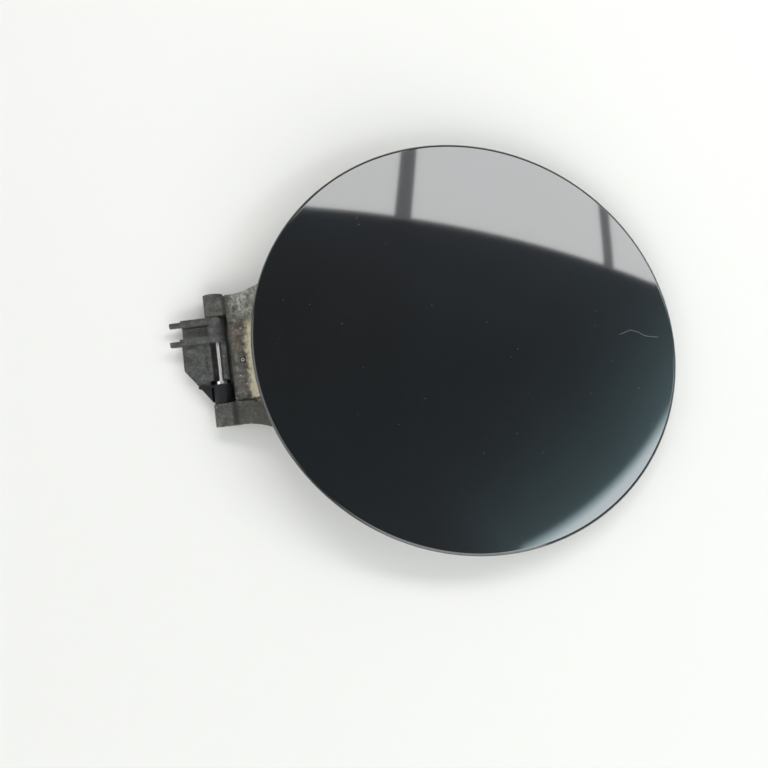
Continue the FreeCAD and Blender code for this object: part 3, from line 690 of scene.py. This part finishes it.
keeper_plastic, tree, shader, place = new_material("keeper_plastic")
look = use_group(
    tree,
    aged_plastic,
    place,
    Black=KEEPER_BLACK,
    Bloom=KEEPER_BLOOM,
    Dust=KEEPER_DUST,
    Dusty=KEEPER_THIN_DUST,
)
wire_up(tree, shader, look, strength=0.3, depth=0.0001)
refinish("latch_catch", keeper_plastic)


# Screws: round headed, plated steel, with a cross slot.
# Four hold the arm to the pan and two smaller ones hold the keeper.
# The plating has dulled and picked up tarnish.
SCREW_STEEL = (0.4, 0.4, 0.41, 1.0)
SCREW_TARNISH = (0.2, 0.19, 0.17, 1.0)

screw_steel = steel_finish("screw_plating", SCREW_STEEL, SCREW_TARNISH)
refinish("arm_screws", screw_steel)
refinish("catch_screws", screw_steel)


# Rubber stops: two soft plugs pushed into holes in the pan, which take up rattle when the lid shuts.
# They are moulded in matt black rubber, with a fine bloom on its skin.
RUBBER_BLACK = (0.016, 0.016, 0.016, 1.0)
RUBBER_BLOOM = (0.045, 0.045, 0.043, 1.0)
RUBBER_CLOUDS = 380.0
RUBBER_GRAIN = 1900.0
RUBBER_ROUGH = (0.6, 0.85)

bumper_rubber, tree, shader, place = new_material("bumper_rubber")
bloom = noise(tree, place, RUBBER_CLOUDS, detail=5.0, roughness=0.7)
bloom = stretch(tree, bloom, 0.4, 0.7)
grain = noise(tree, place, RUBBER_GRAIN, detail=3.0, roughness=0.6)
tree.links.new(blend_colours(tree, bloom, RUBBER_BLACK, RUBBER_BLOOM), shader.inputs["Base Color"])
tree.links.new(stretch(tree, bloom, 0.0, 1.0, *RUBBER_ROUGH), shader.inputs["Roughness"])
add_relief(tree, shader, grain, strength=0.3, depth=0.0001)
refinish("bumper_upper", bumper_rubber)
refinish("bumper_lower", bumper_rubber)


# Table: a plain pale sheet that the flap lies on, warm white and matt.
# It only carries the shadow.
FLOOR_HALF = 1.0
FLOOR_PALE = (0.744, 0.733, 0.706, 1.0)
FLOOR_SHADE = (0.73, 0.719, 0.692, 1.0)
FLOOR_CLOUDS = 3.0
FLOOR_ROUGH = 0.9
FLOOR_SHINE = 0.1

form = bmesh.new()
bmesh.ops.create_grid(form, x_segments=2, y_segments=2, size=FLOOR_HALF)
floor = set_down(form, "floor", SHARP_CORNER)
floor_finish, tree, shader, place = new_material("floor_finish")
soft = noise(tree, place, FLOOR_CLOUDS, detail=3.0, roughness=0.5)
soft = stretch(tree, soft, 0.3, 0.7)
tree.links.new(blend_colours(tree, soft, FLOOR_PALE, FLOOR_SHADE), shader.inputs["Base Color"])
shader.inputs["Roughness"].default_value = FLOOR_ROUGH
shader.inputs["Specular IOR Level"].default_value = FLOOR_SHINE
floor.data.materials.append(floor_finish)


# Light: a window of three panes above the table's far side, which the lacquer mirrors as a band.
# A second light, on the near right, has a bowed bright edge that draws the crescent along the rim.
# Two soft boxes and a dim room fill in the shadows, and the room looks pale low down.
LIGHT_HEIGHT = 1.0
WINDOW_TURN = math.radians(-13.4)
WINDOW_OUT = (0.598, 1.03)
WINDOW_GLOW = 5.3
PANES = ((-0.32, 0.122), (0.176, 0.904), (0.952, 1.7))
FRAME_GLOW = 0.9
FRAME_ABOVE = 0.02
WALL_TURN = math.radians(-147.7)
WALL_OUT = (0.25, 0.97)
WALL_ALONG = (-1.45, 0.05)
WALL_GLOW = 6.6
WALL_BRIGHT = (0.88, 0.965, 1.0, 1.0)
WALL_FAINT = (0.56, 0.94, 1.0, 1.0)
WALL_EDGE = (0.802, 0.872)
WALL_MIDDLE = 0.52
WALL_BOW = 0.11
WALL_ENDS = 0.12
FAINT_SHARE = 0.1
FAINT_RISE = 2.2
FAINT_GAIN = (0.55, 0.1)
ROOM_COLOUR = (0.93, 0.98, 1.0, 1.0)
ROOM_GLOW = 0.42
ROOM_MIRRORED = 0.145
PALE_COLOUR = (0.97, 0.975, 0.96, 1.0)
PALE_BELOW = (0.5, 0.3)
PALE_MIRRORED = 0.6
SOFT_BOX_AIM = Vector((0.08, 0.0, 0.0))
SOFT_BOXES = {
    "left_box": (Vector((-1.3, -0.1, 0.8)), 1.4, 8.0),
    "near_box": (Vector((0.1, -1.3, 0.8)), 1.5, 17.0),
}


def overhead_light(name, turn, along, out, height, glow):
    """A flat box light that faces down, given by its two spans in a turned frame."""
    lamp = bpy.data.lights.new(name, "AREA")
    lamp.shape = "RECTANGLE"
    lamp.size = along[1] - along[0]
    lamp.size_y = out[1] - out[0]
    lamp.energy = glow * math.pi * lamp.size * lamp.size_y
    item = bpy.data.objects.new(name, lamp)
    middle = Vector(((along[0] + along[1]) / 2, (out[0] + out[1]) / 2, height))
    item.location = Matrix.Rotation(turn, 3, "Z") @ middle
    item.rotation_euler = (0.0, 0.0, turn)
    bpy.context.scene.collection.objects.link(item)
    return lamp


for number, pane in enumerate(PANES):
    overhead_light(f"pane_{number}", WINDOW_TURN, pane, WINDOW_OUT, LIGHT_HEIGHT, WINDOW_GLOW)
whole = (PANES[0][0], PANES[-1][1])
frame_height = LIGHT_HEIGHT + FRAME_ABOVE
overhead_light("window_frame", WINDOW_TURN, whole, WINDOW_OUT, frame_height, FRAME_GLOW)
near_wall = overhead_light("near_wall", WALL_TURN, WALL_ALONG, WALL_OUT, LIGHT_HEIGHT, WALL_GLOW)
near_wall.use_nodes = True
tree = near_wall.node_tree
ways = split(tree, tree.nodes.new("ShaderNodeNewGeometry").outputs["Parametric"])
along, out = ways["X"], ways["Y"]
ends = stretch(tree, along, 0.0, WALL_ENDS)
ends = sums(tree, "MULTIPLY", ends, stretch(tree, along, 1.0, 1.0 - WALL_ENDS))
aside = sums(tree, "SUBTRACT", along, WALL_MIDDLE)
bow = sums(tree, "MINIMUM", sums(tree, "MULTIPLY", aside, aside), WALL_BOW)
bright = stretch(tree, sums(tree, "ADD", out, bow), *WALL_EDGE)
faint = sums(tree, "POWER", stretch(tree, out, 0.0, WALL_EDGE[1]), FAINT_RISE)
gain = stretch(tree, along, *FAINT_GAIN, FAINT_SHARE, 2 * FAINT_SHARE)
faint = sums(tree, "MULTIPLY", faint, gain)
shine = sums(tree, "MULTIPLY", ends, sums(tree, "MAXIMUM", bright, faint))
emission = tree.nodes["Emission"]
tree.links.new(shine, emission.inputs["Strength"])
tree.links.new(blend_colours(tree, bright, WALL_FAINT, WALL_BRIGHT), emission.inputs["Color"])
world = bpy.data.worlds.new("room")
world.use_nodes = True
tree = world.node_tree
dim = tree.nodes["Background"]
dim.inputs["Color"].default_value = ROOM_COLOUR
pale = add_node(tree, "Background", Color=PALE_COLOUR, Strength=1.0)
ray = tree.nodes.new("ShaderNodeLightPath").outputs
glow = stretch(tree, ray["Is Glossy Ray"], 0.0, 1.0, ROOM_GLOW, ROOM_MIRRORED)
tree.links.new(glow, dim.inputs["Strength"])
mirrored = sums(tree, "MULTIPLY", ray["Is Glossy Ray"], PALE_MIRRORED)
seen = sums(tree, "MAXIMUM", ray["Is Camera Ray"], mirrored)
seen = sums(tree, "MAXIMUM", seen, ray["Is Transmission Ray"])
upward = split(tree, tree.nodes.new("ShaderNodeTexCoord").outputs["Generated"])["Z"]
low = stretch(tree, upward, *PALE_BELOW)
mix = tree.nodes.new("ShaderNodeMixShader")
tree.links.new(sums(tree, "MULTIPLY", seen, low), mix.inputs["Fac"])
tree.links.new(dim.outputs["Background"], mix.inputs[1])
tree.links.new(pale.outputs["Background"], mix.inputs[2])
tree.links.new(mix.outputs["Shader"], tree.nodes["World Output"].inputs["Surface"])
bpy.context.scene.world = world
for name, (spot, across, power) in SOFT_BOXES.items():
    lamp = bpy.data.lights.new(name, "AREA")
    lamp.shape = "SQUARE"
    lamp.size = across
    lamp.energy = power
    box = bpy.data.objects.new(name, lamp)
    box.location = spot
    box.rotation_euler = (SOFT_BOX_AIM - spot).to_track_quat("-Z", "Y").to_euler()
    bpy.context.scene.collection.objects.link(box)


# Camera: almost straight above the flap, a little towards its near side and rolled a few degrees.
# It looks down from about a third of a metre, so the raised lid looms a little over the hinge.
CAMERA_PLACE = Vector((0.0643, -0.0435, 0.327))
CAMERA_TILT = math.radians(4.5)
CAMERA_ROLL = math.radians(7.13)
CAMERA_LENS = 36.05
CAMERA_SENSOR = 36.0

toward_viewer = Vector((-math.sin(CAMERA_ROLL), -math.cos(CAMERA_ROLL), 0.0))
rightward = Vector((math.cos(CAMERA_ROLL), -math.sin(CAMERA_ROLL), 0.0))
backward = Vector((0.0, 0.0, math.cos(CAMERA_TILT))) + toward_viewer * math.sin(CAMERA_TILT)
upward = backward.cross(rightward)
lens = bpy.data.cameras.new("viewpoint")
lens.lens = CAMERA_LENS
lens.sensor_width = CAMERA_SENSOR
viewpoint = bpy.data.objects.new("viewpoint", lens)
turn = Matrix((rightward, upward, backward)).transposed().to_4x4()
viewpoint.matrix_world = Matrix.Translation(CAMERA_PLACE) @ turn
bpy.context.scene.collection.objects.link(viewpoint)
bpy.context.scene.camera = viewpoint
